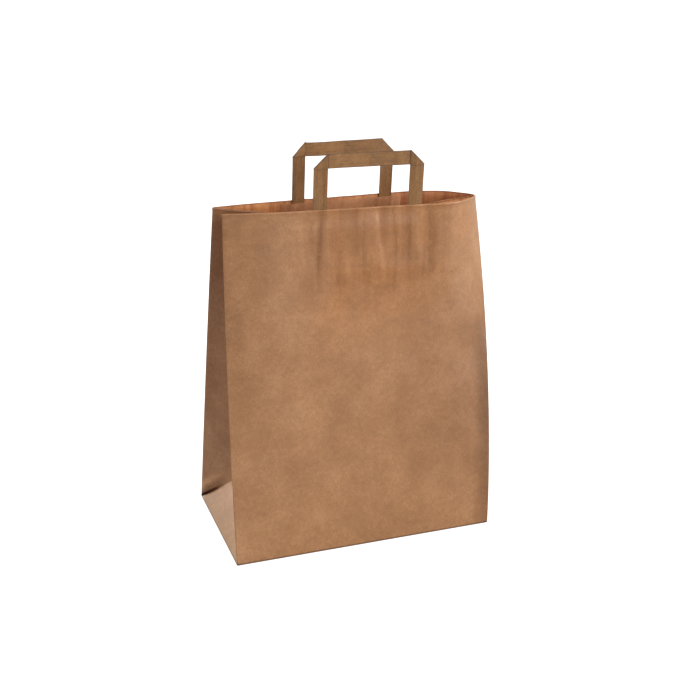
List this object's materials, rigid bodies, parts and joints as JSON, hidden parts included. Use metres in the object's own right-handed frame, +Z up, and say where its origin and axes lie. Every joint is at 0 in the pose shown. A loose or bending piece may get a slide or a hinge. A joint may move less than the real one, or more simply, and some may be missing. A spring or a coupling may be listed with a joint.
{
  "type": "paper carrier bag",
  "caption": "Block-bottom brown paper carrier bag with side gussets and two flat folded paper handles glued inside under patches.",
  "frame": {"origin": "middle of the bag's base, on the surface it stands on", "axes": "+Z up from the base to the mouth and handles, +X along the width of the front panel to its right-hand end, +Y from the front panel to the back panel"},
  "size_m": [0.3202, 0.1653, 0.4607],
  "materials": {
    "kraft_sheet": "uncoated brown kraft paper, slightly glazed on the outside",
    "kraft_tape": "brown kraft paper folded into flat tape",
    "kraft_patch": "uncoated brown kraft paper, glued down"
  },
  "bodies": {
    "root": {"bag_body": "kraft_sheet", "front_handle": "kraft_tape", "back_handle": "kraft_tape", "front_handle_patch": "kraft_patch", "back_handle_patch": "kraft_patch"}
  },
  "joints": []
}
